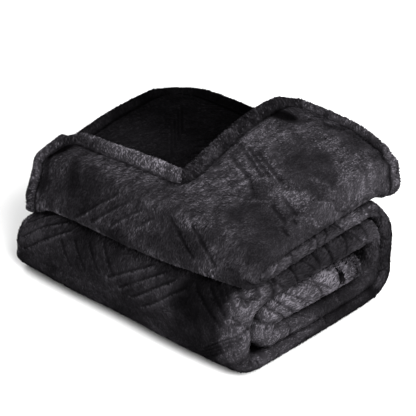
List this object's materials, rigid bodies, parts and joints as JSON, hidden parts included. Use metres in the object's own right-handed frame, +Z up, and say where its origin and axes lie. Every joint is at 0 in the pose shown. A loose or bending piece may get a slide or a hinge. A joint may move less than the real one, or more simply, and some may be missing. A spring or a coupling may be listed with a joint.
{
  "type": "folded flannel plush blanket",
  "caption": "Plush flannel throw in charcoal, folded into a neat bundle with rounded folds, a thick hem round its top ply and an embossed lattice.",
  "frame": {"origin": "bottom centre of the bounding box, on the surface the folded throw lies on", "axes": "+X runs along the bundle to the end where the rolled folds show, +Y from its front to its back, +Z is up"},
  "size_m": [0.327, 0.2366, 0.1886],
  "materials": {
    "plush_charcoal": "soft brushed pile"
  },
  "bodies": {
    "root": {"blanket": "plush_charcoal"}
  },
  "joints": []
}
